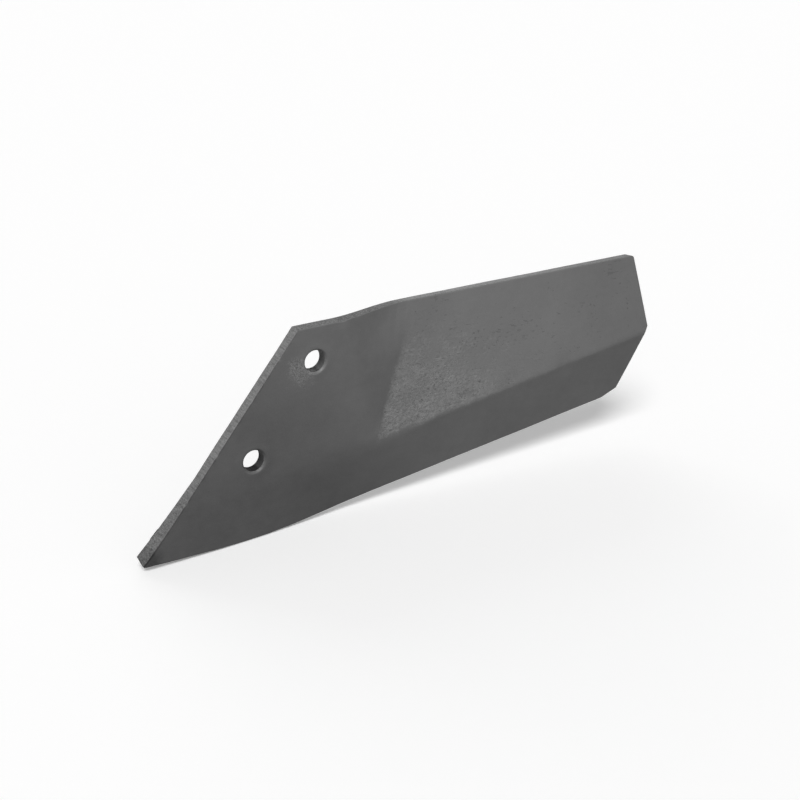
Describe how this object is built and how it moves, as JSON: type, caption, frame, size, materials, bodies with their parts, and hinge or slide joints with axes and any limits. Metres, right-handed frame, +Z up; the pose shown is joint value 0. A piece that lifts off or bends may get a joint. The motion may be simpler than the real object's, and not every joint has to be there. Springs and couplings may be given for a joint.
{
  "type": "side share",
  "caption": "Long bent steel wing plate with a slanted flat bolt pad at its pointed nose, an offset shoulder and a ridge along its lower flat.",
  "frame": {"origin": "centre of the upper bolt hole on the flat back face of the bolt pad", "axes": "+X from the nose towards the wing end, +Z up with the ground side below, +Y backwards into the tine that the pad bolts to"},
  "size_m": [0.3891, 0.0187, 0.1319],
  "materials": {
    "painted_steel": "dark grey dip paint with a soft sheen over forged steel"
  },
  "bodies": {
    "root": {"share_plate": "painted_steel"}
  },
  "joints": []
}
